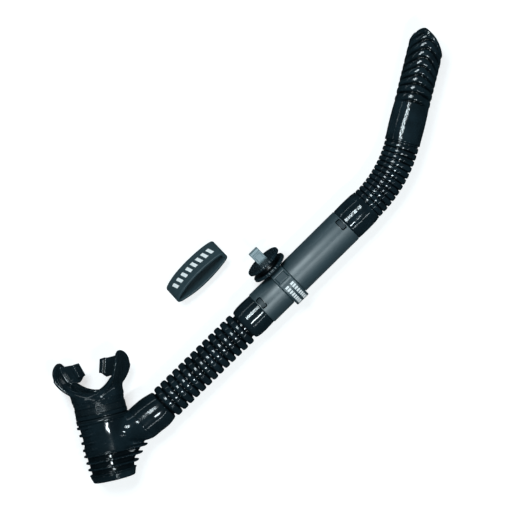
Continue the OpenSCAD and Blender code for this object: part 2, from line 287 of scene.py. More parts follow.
def grid_faces(m, n):
    """Quads over m rows of n points, closed both ways."""
    i, j = np.meshgrid(np.arange(m), np.arange(n), indexing="ij")
    i2, j2 = (i + 1) % m, (j + 1) % n
    quads = np.stack([i * n + j, i2 * n + j, i2 * n + j2, i * n + j2], -1)
    return quads.reshape(-1, 4)


def rectangle(half_x, half_y):
    return [(-half_x, -half_y), (half_x, -half_y), (half_x, half_y), (-half_x, half_y)]


def fillet(points, radius, steps=4, hold=0.12):
    """A closed outline with its corners rounded. radius is one number or one for each corner. hold
    is how far beyond each end of a rounding an extra point keeps the straight side flat."""
    straight, edge_share, hold_share = math.pi - 0.02, 0.48, 0.49
    pts = [np.array(p, float) for p in points]
    n = len(pts)
    radii = list(radius) if hasattr(radius, "__len__") else [radius] * n
    out = []
    for i in range(n):
        p, q, w = pts[i - 1], pts[i], pts[(i + 1) % n]
        to_p, to_w = p - q, w - q
        lp, lw = np.linalg.norm(to_p), np.linalg.norm(to_w)
        to_p, to_w = to_p / lp, to_w / lw
        turn = math.acos(max(-1.0, min(1.0, float(to_p @ to_w))))
        if radii[i] <= 0 or turn > straight:
            out.append(q)
            continue
        reach = min(radii[i] / math.tan(turn / 2), edge_share * lp, edge_share * lw)
        r = reach * math.tan(turn / 2)
        a, b = q + to_p * reach, q + to_w * reach
        centre = q + (to_p + to_w) / np.linalg.norm(to_p + to_w) * (r / math.sin(turn / 2))
        if reach + hold < hold_share * lp:
            out.append(a + to_p * hold)
        va, vb = a - centre, b - centre
        sweep = math.acos(max(-1.0, min(1.0, float(va @ vb) / (r * r))))
        for k in range(steps + 1):
            f = k / steps
            v = (va * math.sin((1 - f) * sweep) + vb * math.sin(f * sweep)) / math.sin(sweep)
            out.append(centre + v)
        if reach + hold < hold_share * lw:
            out.append(b + to_w * hold)
    return np.array(out)


def lathe(name, profile, seg=128, place=None, groove=None):
    """profile: closed outline of (distance along the axis, radius). groove, which gives the painted
    shade in grooves, takes the same two.
    """
    profile = np.asarray(profile, float)
    angle = np.arange(seg) * 2 * math.pi / seg
    x = np.repeat(profile[:, 0], seg)
    y = np.outer(profile[:, 1], np.cos(angle)).ravel()
    z = np.outer(profile[:, 1], np.sin(angle)).ravel()
    pts = np.stack([x, y, z], -1)
    if place is not None:
        pts = place(pts)
    shade_mask = None
    if groove is not None:
        shade_mask = np.repeat(groove(profile[:, 0], profile[:, 1]), seg)
    return new_mesh(name, pts, grid_faces(len(profile), seg), groove=shade_mask)


# smooth set operations on distances
def join(a, b, k):
    h = np.clip(0.5 + 0.5 * (b - a) / k, 0, 1)
    return b + (a - b) * h - k * h * (1 - h)


def common(a, b, k):
    return -join(-a, -b, k)


def cut(a, b, k):
    return -join(-a, b, k)


def ease(x, a, b):
    t = np.clip((x - a) / (b - a), 0, 1)
    return t * t * (3 - 2 * t)


def convex(x, y, corners):
    """Signed distance, roughly, to a convex outline listed anticlockwise."""
    d = None
    for (x0, y0), (x1, y1) in zip(corners, corners[1:] + corners[:1]):
        length = math.hypot(x1 - x0, y1 - y0)
        e = ((x - x0) * (y1 - y0) - (y - y0) * (x1 - x0)) / length
        d = e if d is None else np.maximum(d, e)
    return d


def egg(along, across, r1, r2, h):
    """Distance to a round with a smaller round beside it, joined by tangents."""
    across = np.abs(across)
    b = np.clip((r1 - r2) / h, -0.99, 0.99)
    a = np.sqrt(1 - b * b)
    k = -b * across + a * along
    first = np.hypot(across, along) - r1
    last = np.hypot(across, along - h) - r2
    side = across * a + along * b - r1
    return np.where(k < 0, first, np.where(k > a * h, last, side))


RELAX_ROUNDS = 3
CORNERS = np.array([[i >> 2 & 1, i >> 1 & 1, i & 1] for i in range(8)])
CELL_EDGES = [
    (a, b) for a in range(8) for b in range(a + 1, 8) if bin(a ^ b).count("1") == 1
]


def moulded(name, field, lo, hi, step, place=None, groove=None):
    """A closed mesh of the surface field = 0. field takes x, y and z in millimetres and is negative
    inside. place turns the field's own frame into the row frame."""
    slab, longest_move = 16, 0.6 * step
    lo = np.array(lo, float)
    size = np.ceil((np.array(hi, float) - lo) / step).astype(int) + 1
    axes = [lo[k] + step * np.arange(size[k]) for k in range(3)]
    values = np.empty(size, np.float32)
    for i in range(0, size[0], slab):
        x, y, z = np.meshgrid(axes[0][i : i + slab], axes[1], axes[2], indexing="ij")
        values[i : i + slab] = field(x, y, z)
    inside = values < 0
    total = np.zeros(size - 1, np.int8)
    for c in CORNERS:
        total += inside[
            c[0] : size[0] - 1 + c[0], c[1] : size[1] - 1 + c[1], c[2] : size[2] - 1 + c[2]
        ]
    active = (total > 0) & (total < 8)
    ids = np.full(active.shape, -1, np.int64)
    cells = np.argwhere(active)
    ids[active] = np.arange(len(cells))
    v = [values[tuple((cells + c).T)] for c in CORNERS]
    acc, count = np.zeros((len(cells), 3)), np.zeros(len(cells))
    for a, b in CELL_EDGES:
        m = (v[a] < 0) != (v[b] < 0)
        t = (v[a][m] / (v[a][m] - v[b][m]))[:, None]
        acc[m] += CORNERS[a] + t * (CORNERS[b] - CORNERS[a])
        count[m] += 1
    pts = lo + step * (cells + acc / count[:, None])
    quads = []
    for axis in range(3):
        u, w = (axis + 1) % 3, (axis + 2) % 3
        lower = [slice(None)] * 3
        upper = [slice(None)] * 3
        lower[axis], upper[axis] = slice(None, -1), slice(1, None)
        a, b = inside[tuple(lower)], inside[tuple(upper)]
        at = np.argwhere(a != b)
        at = at[(at[:, u] > 0) & (at[:, w] > 0) & (at[:, u] < size[u] - 1) & (at[:, w] < size[w] - 1)]

        def cell(du, dw):
            q = at.copy()
            q[:, u] -= du
            q[:, w] -= dw
            return ids[tuple(q.T)]

        quad = np.stack([cell(1, 1), cell(0, 1), cell(0, 0), cell(1, 0)], -1)
        flip = ~a[tuple(at.T)]
        quad[flip] = quad[flip][:, ::-1]
        quads.append(quad)
    quads = np.concatenate(quads)

    def slope(p, h=0.02):
        g = np.empty_like(p)
        for k in range(3):
            d = np.zeros(3)
            d[k] = h
            g[:, k] = (field(*(p + d).T) - field(*(p - d).T)) / (2 * h)
        return g

    def settle(p, times=2):
        for _ in range(times):
            g = slope(p)
            shift = (field(*p.T) / np.maximum((g * g).sum(1), 0.05))[:, None] * g
            length = np.linalg.norm(shift, axis=1, keepdims=True)
            p = p - shift * np.minimum(1, longest_move / np.maximum(length, 1e-9))
        return p

    pts = settle(pts)
    near = np.concatenate([quads, np.roll(quads, 1, 1)], 0)
    other = np.concatenate([np.roll(quads, -1, 1), quads], 0)
    weight = np.bincount(near.ravel(), minlength=len(pts))[:, None]
    for _ in range(RELAX_ROUNDS):
        mean = np.stack(
            [np.bincount(near.ravel(), pts[other.ravel(), k], len(pts)) for k in range(3)], -1
        )
        pts = settle(0.5 * pts + 0.5 * mean / weight, 1)
    pts = settle(pts, 1)
    normals = slope(pts)
    normals /= np.maximum(np.linalg.norm(normals, axis=1, keepdims=True), 1e-9)
    # painted shade in grooves, from the groove function
    shade_mask = groove(*pts.T) if groove is not None else None
    if place is not None:
        tips = place(pts + normals)
        pts = place(pts)
        normals = tips - pts
    return new_mesh(name, pts, quads, normals=normals, groove=shade_mask)


# ---------------------------------------------------------------- the chamber's frame

CHAMBER_ANGLE = math.radians(58.6)
UP = np.array([math.cos(CHAMBER_ANGLE), math.sin(CHAMBER_ANGLE), 0.0])
SIDE = np.array([math.sin(CHAMBER_ANGLE), -math.cos(CHAMBER_ANGLE), 0.0])
FOOT = np.array([-195.01, -13.5, 0.0])
SEAM_X = -150.61
NECK_SHIFT = 1.4
NECK_R = 19.7
COLLAR_S = 46.5
CHAMBER_BORE = 14.3
ARM_BORE = 11.0
ARM_END_X = -178.0


def from_chamber(p):
    """Chamber frame (sideways, up its axis, height) to the row frame."""
    return FOOT + np.outer(p[:, 0], SIDE) + np.outer(p[:, 1], UP) + p[:, 2:3] * [0, 0, 1]


def arm_centre(x):
    """How far the side arm's centreline lies to the mouthpiece's side at x."""
    return 0.3 + 1.5 * ease(-x, 131.0, 151.0) + 0.028 * np.clip(-x - 149.0, 0, 25) ** 2


# ---------------------------------------------------------------- purge chamber

FINS = [5.75, 10.55, 15.7, 20.9]
RIDGES = [25.6, 31.1, 37.0, 42.6]


def plate_outline(t, s, z):
    """Distance to the outline of the plates at the height s: an egg that grows towards the arm."""
    k = np.clip((s - 5.0) / 5.0, 0.0, 3.3)
    reach = 18.1 + 12.2 * (k / 3.0) ** 1.3
    r1 = 17.7 + 0.35 * k
    r2 = r1 - 0.2 - 2.7 * k
    return egg(t, z, r1, r2, np.maximum(reach - r2, 0.4))


def shade_between_plates(t, s, z):
    """How much shade is painted in the gaps between the plates, by how far into a gap each point
    lies.
    """
    return 0.8 * ease(-plate_outline(t, s, z), 1.0, 2.4) * ease(-s, -22.6, -20.6)


def chamber_field(t, s, z):
    """t: sideways towards the arm, s: up the axis, z: height."""
    outline = plate_outline(t, s, z)
    # the wall lies further inside the plates on the arm's side
    inside = 2.3 + ease(t, 0.0, 17.0) * (2.4 * ease(s, 5.5, 13.0) - 0.2)
    lower = common(outline + inside, np.abs(s - 12.9) - 8.9, 0.6)
    across = np.hypot(t - NECK_SHIFT, z)
    wall_r = 17.9 + 0.8 * ease(s, 34.0, 46.0)
    column = common(across - wall_r, np.abs(s - 33.0) - 13.5, 0.8)
    # the arm, in the row frame
    x = FOOT[0] + t * SIDE[0] + s * UP[0]
    y = FOOT[1] + t * SIDE[1] + s * UP[1]
    arm_r = 14.1 - 0.7 * ease(-x, 152.0, 160.0)
    arm = np.hypot(y - arm_centre(x), z) - arm_r
    arm = common(arm, x - SEAM_X, 0.4)
    arm = common(arm, ARM_END_X - x, 2.0)
    # a flared skirt carries the arm down to the top plate
    skirt = common(outline + inside, np.abs(s - 24.0) - 3.0, 1.0)
    upper = join(join(column, arm, 3.4), skirt, 2.5)
    upper = common(upper, 20.6 - s, 0.5)
    body = join(upper, lower, 0.8)
    # four plates that stand out all round the foot
    sag = 0.0013 * np.maximum(t, 0.0) ** 2
    for at in FINS:
        thin = 0.95 - 0.13 * np.clip(outline + 2.2, 0, 2.5)
        plate = common(np.abs(s - at + sag) - thin, outline, 1.0)
        body = join(body, plate, 0.6)
    # short ridges on the side away from the arm, fading towards the front and back
    facing = -(t - NECK_SHIFT) / np.maximum(across, 1e-6)
    fade = ease(facing, 0.2, 0.75)
    for at in RIDGES:
        edge = across - (wall_r - 0.6 + 2.6 * fade)
        ridge = common(np.abs(s - at) - 0.8, edge, 0.4)
        body = join(body, ridge, 0.6)
    # rim under the collar
    rim = common(across - 19.9, np.abs(s - 45.6) - 0.8, 0.5)
    body = join(body, rim, 1.6)
    body = cut(body, np.maximum(across - 20.6, COLLAR_S - s), 0.25)
    # bores
    bore = np.maximum(np.hypot(t, z) - CHAMBER_BORE, np.abs(s - 17.0) - 13.0)
    bore = np.minimum(bore, np.maximum(across - CHAMBER_BORE, 26.0 - s))
    # the side bore is straight round the spigot, then narrows and follows the elbow
    rise = 0.05 * np.clip(-x - 153.5, 0, 25) ** 2
    side_bore = np.hypot(y - rise, z) - ARM_BORE + 1.5 * ease(-x, 154.6, 157.6)
    side_bore = np.maximum(side_bore, ARM_END_X - x)
    body = cut(body, join(bore, side_bore, 1.5), 0.3)
    return cut(body, s - 5.05, 0.3)


chamber = moulded(
    "chamber_body", chamber_field, (-21.5, 4.4, -21.5), (46.5, 50.0, 21.5), 0.5,
    place=from_chamber, groove=shade_between_plates,
)
finish_piece(chamber, "chamber", "chamber_body", SATIN)


def cover_field(t, s, z):
    across = np.hypot(t, z)
    r = 15.95 + 1.5 * ease(s, -0.5, 5.5)
    foot = -0.35 + 0.0015 * across**2
    body = common(across - r, np.maximum(foot - s, s - 5.0), 0.9)
    body = cut(body, np.maximum(across - 13.6, 2.2 - s), 0.4)
    angle = np.arctan2(z, t)
    spoke = math.pi / 4
    local = (angle + spoke / 2) % spoke - spoke / 2
    along, sideways = across * np.cos(local), across * np.sin(local)
    slot = np.hypot(np.maximum(np.abs(along - 8.7) - 2.4, 0), sideways) - 1.3
    body = cut(body, slot, 0.4)
    ring = np.hypot(across - 14.4, s + 0.1) - 0.45
    return cut(body, ring, 0.3)


cover = moulded(
    "purge_cover", cover_field, (-18.6, -1.2, -18.6), (18.6, 5.8, 18.6), 0.42, place=from_chamber
)
finish_piece(cover, "chamber", "purge_cover", SATIN)

# ---------------------------------------------------------------- mouthpiece

TURN = math.radians(20.0)
BEND_S = 91.0
PLATE_R = 26.0
SOCKET_R = 15.8
AIRWAY_WIDE, AIRWAY_HIGH = 11.0, 8.6
CLAMP_S, CLAMP_HALF, CLAMP_R = 54.0, 2.25, 19.5


def from_mouthpiece(p):
    """Mouthpiece frame (across the mouth, up the neck, height) to the row frame."""
    across = NECK_SHIFT + p[:, 0] * math.cos(TURN) - p[:, 2] * math.sin(TURN)
    height = p[:, 0] * math.sin(TURN) + p[:, 2] * math.cos(TURN)
    return from_chamber(np.stack([across, p[:, 1], height], -1))


def mouthpiece_field(x, s, z):
    """x: across the mouth, s: up the chamber's axis, z: height."""
    side = np.abs(x)
    ring = np.hypot(x, s - BEND_S)
    # the lip flange: a plate round the teeth, with rounded wings and a beaded edge
    lobe = np.hypot(s - 79.3, z * 1.06) - 13.1
    waist = np.maximum(np.abs(z) - 12.6 - 0.5 * ease(s, 66.0, 74.0), s - 80.0)
    outline = join(lobe, waist, 3.0)
    bow = PLATE_R - 0.2 + 0.006 * z * z
    plate = common(np.abs(ring - bow) - 1.0, outline, 0.8)
    plate = np.maximum(plate, 60.0 - s)
    bead = np.hypot(ring - bow, np.maximum(outline, -0.9) + 0.3) - 1.3
    plate = join(plate, bead, 0.6)
    # the neck: round below, then low and wide where it meets the plate
    a = NECK_R - 0.8 * ease(s, 50.0, 55.0) + 1.6 * ease(s, 56.0, 63.0) + 7.2 * ease(s, 60.0, 74.0)
    b = NECK_R - 8.6 * ease(s, 56.0, 69.0)
    round_ = np.hypot(x / a, z / b)
    neck = (round_ - 1.0) * np.minimum(a, b)
    neck = common(neck, 47.3 - s, 0.6)
    # undercut beside the collar
    neck = np.maximum(neck, np.hypot(x, z) - 18.4 - 1.6 * ease(s, 47.6, 48.9))
    neck = common(neck, s - 74.0, 0.5)
    neck = np.maximum(neck, (PLATE_R - 1.0) - ring)
    body = join(plate, neck, 5.0)
    # bite tabs
    tab = convex(side, s, [(8.3, 79.3), (11.5, 75.8), (27.0, 77.5), (27.0, 90.4), (11.3, 89.6)])
    tab = common(tab, np.abs(z) - 2.0, 0.7)
    tab = np.maximum(tab, ring - PLATE_R)
    lip = convex(side, s, [(7.7, 80.0), (10.8, 79.2), (14.2, 89.4), (10.9, 90.2)])
    lip = common(lip, np.abs(z) - 5.2, 0.9)
    body = join(body, tab, 1.6)
    body = join(body, lip, 1.0)
    # a low web on each side of a tab
    web = convex(side, s, [(17.5, 68.5), (27.0, 72.0), (27.0, 80.0), (17.0, 78.0)])
    web = common(np.abs(z) - 0.9, web, 0.5)
    web = np.maximum(web, ring - PLATE_R)
    body = join(body, web, 1.2)
    # socket, airway and the clamp's groove
    across = np.hypot(x, z)
    body = cut(body, np.maximum(across - SOCKET_R, np.abs(s - 51.0) - 7.0), 0.4)
    airway = (np.hypot(x / AIRWAY_WIDE, z / AIRWAY_HIGH) - 1.0) * AIRWAY_HIGH
    airway = np.maximum(airway, np.abs(s - 64.0) - 12.0)
    body = cut(body, airway, 1.2)
    groove = np.maximum(np.abs(s - CLAMP_S) - 2.6, 18.7 - across)
    body = cut(body, groove, 0.4)
    # two shallow moulded steps on the neck
    for at in (58.4, 60.6):
        mark = np.maximum(np.abs(s - at) - 0.35, -neck - 0.35)
        body = cut(body, np.maximum(mark, np.abs(s - at) - 0.5), 0.35)
    return body


mouthpiece = moulded(
    "mouthpiece", mouthpiece_field, (-29.5, 46.6, -21.5), (29.5, 96.0, 21.5), 0.5,
    place=from_mouthpiece,
)
finish_piece(mouthpiece, "mouthpiece", "mouthpiece", SILICONE)

# the clamp: a ribbed band in the neck's groove
low, high = CLAMP_S - CLAMP_HALF, CLAMP_S + CLAMP_HALF
clamp_profile = [(low, 18.8), (high, 18.8), (high, CLAMP_R)]
for i in range(4):
    at = 55.6 - 1.05 * i
    clamp_profile += [(at + 0.25, CLAMP_R), (at, CLAMP_R - 0.3), (at - 0.25, CLAMP_R)]
clamp_profile.append((low, CLAMP_R))


def on_neck(p):
    return from_mouthpiece(np.stack([p[:, 1], p[:, 0], p[:, 2]], -1))


clamp = lathe("mouthpiece_clamp", fillet(clamp_profile, 0.14, 2, 0.05), 128, on_neck)
finish_piece(clamp, "mouthpiece", "mouthpiece_clamp", NYLON)

# ---------------------------------------------------------------- side arm and lower tube

cuff_outer = []
for x in np.linspace(-130.0, -150.2, 40):
    r = 14.35 - 2.1 * max(0.0, (x + 141.0) / 12.0) ** 2 - 0.022 * max(0.0, -x - 141.0)
    cuff_outer.append((x, r))
cuff_profile = (
    [(-129.66, 11.0), (-129.66, 11.8), (-129.75, 12.0)]
    + cuff_outer
    + [(-150.5, 14.1), (-150.58, 13.8), (-150.58, 11.05)]
)


def along_arm(p):
    q = p.copy()
    weight = ease(np.hypot(p[:, 1], p[:, 2]), 11.2, 12.0)
    q[:, 1] += arm_centre(p[:, 0]) * weight
    return q


arm_cuff = lathe("arm_cuff", cuff_profile, 128, along_arm)
finish_piece(arm_cuff, "chamber", "arm_cuff", SILICONE)

RINGS = 13
PITCH = 6.27
FIRST_RING = -46.9
RING_CROWN, RING_ROOT = 13.6, 10.3
LOWER_BORE = 8.5
SLEEVE_R = 11.95


def lower_outline():
    """Outer line of the lower tube from its barrel end to its chamber end."""
    half, shoulder = 2.5, RING_CROWN - 0.3
    pts = [(-27.05, SLEEVE_R), (-27.05, 13.3), (-30.5, 13.55), (-36.0, 13.75), (-40.5, 13.6)]
    pts += [(-43.6, 13.05), (-45.0, 12.3), (-45.35, RING_ROOT)]
    radii = [0, 0.45, 4, 8, 6, 2.0, 0.7, 0.6]
    for i in range(RINGS):
        c = FIRST_RING - (i + 0.5) * PITCH
        pts += [(c + half, RING_ROOT), (c + half, shoulder), (c, RING_CROWN)]
        pts += [(c - half, shoulder), (c - half, RING_ROOT)]
        radii += [0.55, 1.35, 6.0, 1.35, 0.55]
    end = FIRST_RING - RINGS * PITCH - 1.15
    # the bore gets rows of its own, so that it would bend with the rings if the tube were bent
    bore = [(x, LOWER_BORE) for x in np.linspace(end, -40.0, 42)]
    pts += [(end, RING_ROOT)] + bore + [(-40.3, SLEEVE_R)]
    radii += [0] * (len(bore) + 2)
    return fillet(pts, radii, 4, 0.18)


def shade_between_rings(x, r):
    """How much shade is painted in the gaps between the rings."""
    return ease(-r, -12.9, -11.2) * ease(-x, 45.0, 46.0)


lower_tube = lathe("lower_flex_tube", lower_outline(), 112, groove=shade_between_rings)
finish_piece(lower_tube, None, "lower_flex_tube", SATIN)
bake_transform(lower_tube)

# ---------------------------------------------------------------- barrel


BARREL_FROM, BARREL_TO = -27.0, 62.0
BARREL_R, BARREL_BORE = 13.9, 11.8
RECESS_X, RECESS_R = 6.1, 13.2
WINDOWS_X = (-24.0, 59.0)
WINDOW_HALF_LENGTH, WINDOW_HALF_WIDTH = 2.25, 4.7
WINDOW_TURN = math.radians(14.5)

barrel_profile = [
    (BARREL_FROM, BARREL_BORE), (BARREL_FROM, BARREL_R), (-RECESS_X, BARREL_R),
    (-RECESS_X, RECESS_R), (RECESS_X, RECESS_R), (RECESS_X, BARREL_R), (BARREL_TO, BARREL_R),
    (BARREL_TO, BARREL_BORE),
]
barrel_corners = [0.25, 0.45, 0.3, 0.2, 0.2, 0.3, 0.45, 0.25]
barrel = lathe("barrel", fillet(barrel_profile, barrel_corners, 4, 0.2), 192)


def window_cutter(x):
    """Rounded prism through the wall, around the window at x."""
    outline = fillet(rectangle(WINDOW_HALF_LENGTH, WINDOW_HALF_WIDTH), 1.3, 8, 0)
    pts = []
    for h in (10.0, 16.0):
        for a, b in outline:
            y = b * math.cos(WINDOW_TURN) + h * math.sin(WINDOW_TURN)
            z = -b * math.sin(WINDOW_TURN) + h * math.cos(WINDOW_TURN)
            pts.append((x + a, y, z))
    n = len(outline)
    faces = [[i, (i + 1) % n, n + (i + 1) % n, n + i] for i in range(n)]
    faces += [list(range(n))[::-1], list(range(n, 2 * n))]
    return new_mesh("cutter", pts, faces)


def apply_modifiers(obj):
    graph = bpy.context.evaluated_depsgraph_get()
    made = bpy.data.meshes.new_from_object(obj.evaluated_get(graph))
    obj.modifiers.clear()
    old = obj.data
    obj.data = made
    made.name = obj.name
    bpy.data.meshes.remove(old)


for x in WINDOWS_X:
    tool = window_cutter(x)
    cutting = barrel.modifiers.new("window", "BOOLEAN")
    cutting.operation = "DIFFERENCE"
    cutting.solver = "EXACT"
    cutting.object = tool
    apply_modifiers(barrel)
    bpy.data.objects.remove(tool)
soften = barrel.modifiers.new("soften", "BEVEL")
soften.width = 0.00028
soften.segments = 3
soften.limit_method = "ANGLE"
soften.angle_limit = math.radians(50)
soften.harden_normals = False
apply_modifiers(barrel)
barrel.data.polygons.foreach_set("use_smooth", np.ones(len(barrel.data.polygons), bool))
barrel.data.set_sharp_from_angle(angle=math.radians(35))
barrel.data.update()
finish_piece(barrel, "barrel", "barrel", SLATE)

# ---------------------------------------------------------------- mask clip

LIFT = math.radians(15.0)
SPOOL_X = -1.5
RING_R, RING_HALF = 17.1, 5.8
FACET = math.radians(67.0)
FLANGE_R, FLANGE_HALF = 14.4, 1.2
FLANGE_IN, FLANGE_OUT = 18.6, 25.0
KNURLS = 36
FACE_RIDGES = (12.4, 10.2, 8.0)
INNER_RIDGES = (12.6, 11.2)
STUD_HALF_X, STUD_HALF_W = 4.1, 3.0


def from_stud(p):
    """Stud frame (along the barrel, out along the stud, across it) to the row frame."""
    y = p[:, 1] * math.cos(LIFT) - p[:, 2] * math.sin(LIFT)
    z = p[:, 1] * math.sin(LIFT) + p[:, 2] * math.cos(LIFT)
    return np.stack([p[:, 0] + SPOOL_X, y, z], -1)


def ring_field(x, y, z):
    radial = np.hypot(y, z)
    body = common(np.abs(x) - RING_HALF, radial - RING_R, 0.7)
    body = cut(body, radial - 13.5, 0.4)
    # flat facet with a shallow panel in it
    out = y * math.cos(FACET) + z * math.sin(FACET)
    across = -y * math.sin(FACET) + z * math.cos(FACET)
    body = common(body, out - 16.45, 0.25)
    border = np.maximum(np.abs(x) - 4.3, np.abs(across) - 3.1)
    panel = np.maximum(np.abs(border) - 0.22, 16.15 - out)
    body = cut(body, panel, 0.2)
    # hole for the stud's pin, and room for its foot
    out = y * math.cos(LIFT) + z * math.sin(LIFT)
    round_ = np.hypot(x - SPOOL_X, -y * math.sin(LIFT) + z * math.cos(LIFT))
    body = cut(body, np.maximum(round_ - 2.55, -out), 0.2)
    return cut(body, np.maximum(round_ - 4.3, np.maximum(out - 14.9, -out)), 0.2)


clip_ring = moulded("clip_ring", ring_field, (-6.4, -17.8, -17.8), (6.4, 17.8, 17.8), 0.4)


def slab_faces(start, rows, cols):
    """Faces of a thin slab given as a lower and an upper grid of points, row by row from start."""
    layer = rows * cols
    faces = []
    for j in range(rows - 1):
        for k in range(cols - 1):
            b = start + j * cols + k
            faces.append([b + layer, b + layer + cols, b + layer + cols + 1, b + layer + 1])
            faces.append([b, b + 1, b + cols + 1, b + cols])
    for k in range(cols - 1):
        b = start + k
        faces.append([b, b + layer, b + layer + 1, b + 1])
        b += layer - cols
        faces.append([b, b + 1, b + layer + 1, b + layer])
    for j in range(rows - 1):
        b = start + j * cols
        faces.append([b, b + cols, b + cols + layer, b + layer])
        b += cols - 1
        faces.append([b, b + layer, b + cols + layer, b + cols])
    return faces


def ring_marks():
    """Two rows of small plain blocks on the ring, which stand in for the print in the same place."""
    pts, faces = [], []
    count, width, step, half_height, parts = 9, 1.65, 2.4, 1.5, 4
    for x0 in (-2.5, 2.5):
        # angles are measured from straight up, and less than 0 is away from the spool
        at = math.radians(-74.0)
        for _ in range(count):
            faces += slab_faces(len(pts), parts + 1, 2)
            for r in (RING_R - 0.2, RING_R + 0.07):
                for i in range(parts + 1):
                    a = at + width / RING_R * i / parts
                    for x in (x0 + half_height, x0 - half_height):
                        pts.append((x, r * math.sin(a), r * math.cos(a)))
            at += step / RING_R
    return new_mesh("ring_print", pts, faces, sharp=40)


def add_print(piece, marks, mat):
    """Joins printed marks to a piece, whose own material is mat, as a second material."""
    piece.data.materials.append(mat)
    piece.data.materials.append(PRINT)
    marks.data.materials.append(PRINT)
    with bpy.context.temp_override(
        active_object=piece, selected_editable_objects=[piece, marks], object=piece
    ):
        bpy.ops.object.join()


add_print(clip_ring, ring_marks(), SLATE_RING)
finish_piece(clip_ring, "clip_ring", "clip_ring")


def spool_field(x, d, w):
    """x: along the barrel, d: distance from its axis along the stud, w: across the stud."""
    round_ = np.hypot(x, w)
    angle = np.arctan2(w, x)
    knurl = 0.1 * np.cos(KNURLS * angle) * ease(round_, 12.5, 13.6)
    edge = round_ - FLANGE_R + knurl
    inner = common(edge, np.abs(d - FLANGE_IN) - FLANGE_HALF, 0.8)
    outer = common(edge, np.abs(d - FLANGE_OUT) - FLANGE_HALF, 0.8)
    core = common(round_ - 9.5, np.abs(d - 21.8) - 3.6, 0.3)
    body = join(join(inner, outer, 0.3), core, 1.2)
    # rings cut into both faces of the outer flange, which leave ridges between them
    for r in FACE_RIDGES:
        body = cut(body, np.hypot(round_ - r, d - 26.35) - 0.42, 0.2)
    for r in INNER_RIDGES:
        body = cut(body, np.hypot(round_ - r, d - 23.7) - 0.3, 0.2)
    hole = np.maximum(np.abs(x) - 4.12, np.abs(w) - 3.02)
    return cut(body, hole, 0.15)


def shade_between_ridges(x, d, w):
    """How much shade is painted in the rings cut into the outer face, and between the two flanges."""
    round_ = np.hypot(x, w)
    shade_level = 0.0
    for r in FACE_RIDGES:
        shade_level = np.maximum(shade_level, np.exp(-((np.abs(round_ - r) / 0.5) ** 2)) * (d > 25.5))
    return np.maximum(shade_level, ease(-round_, -13.6, -12.0) * (np.abs(d - 21.8) < 2.3))


spool = moulded(
    "clip_spool", spool_field, (-15.2, 16.9, -15.2), (15.2, 26.7, 15.2), 0.36,
    place=from_stud, groove=shade_between_ridges,
)
finish_piece(spool, "clip_spool", "clip_spool", RUBBER)


def stud_field(x, d, w):
    block = common(np.abs(x) - STUD_HALF_X, np.abs(w) - STUD_HALF_W, 0.7)
    block = common(block, np.abs(d - 27.0) - 9.6, 0.8)
    # a fine line round the block near its outer end
    line = np.maximum(np.abs(d - 34.2) - 0.22, -np.maximum(np.abs(x) - 3.9, np.abs(w) - 2.8))
    block = cut(block, line, 0.15)
    # sunk panel in the broad faces
    sunk = np.maximum(np.maximum(np.abs(x) - 2.6, np.abs(d - 30.4) - 2.6), 2.8 - np.abs(w))
    block = cut(block, sunk, 0.2)
    round_ = np.hypot(x, w)
    pin = np.maximum(round_ - 2.5, np.abs(d - 16.0) - 2.0)
    foot = common(round_ - 4.0, np.abs(d - 14.2) - 0.5, 0.15)
    return np.minimum(join(block, pin, 0.4), foot)


stud = moulded("spool_stud", stud_field, (-4.6, 13.3, -4.6), (4.6, 37.0, 4.6), 0.3, place=from_stud)
finish_piece(stud, "clip_spool", "spool_stud", PALE)

# ---------------------------------------------------------------- upper tube

BEND_X, BEND_R = 84.0, 98.5
BEND = math.radians(31.4)
UPPER_BORE = 10.55
TIP_BASE = np.array([BEND_X + BEND_R * math.sin(BEND), BEND_R * (1 - math.cos(BEND)), 0.0])


def along_bend(p):
    """p: distance along the centreline from the barrel's end, then the two cross directions."""
    u = p[:, 0] + BARREL_TO - BEND_X
    a = np.clip(u, 0, BEND_R * BEND) / BEND_R
    straight = np.minimum(u, 0)
    x = BEND_X + straight + (BEND_R - p[:, 1]) * np.sin(a)
    y = BEND_R - (BEND_R - p[:, 1]) * np.cos(a)
    return np.stack([x, y, p[:, 2]], -1)


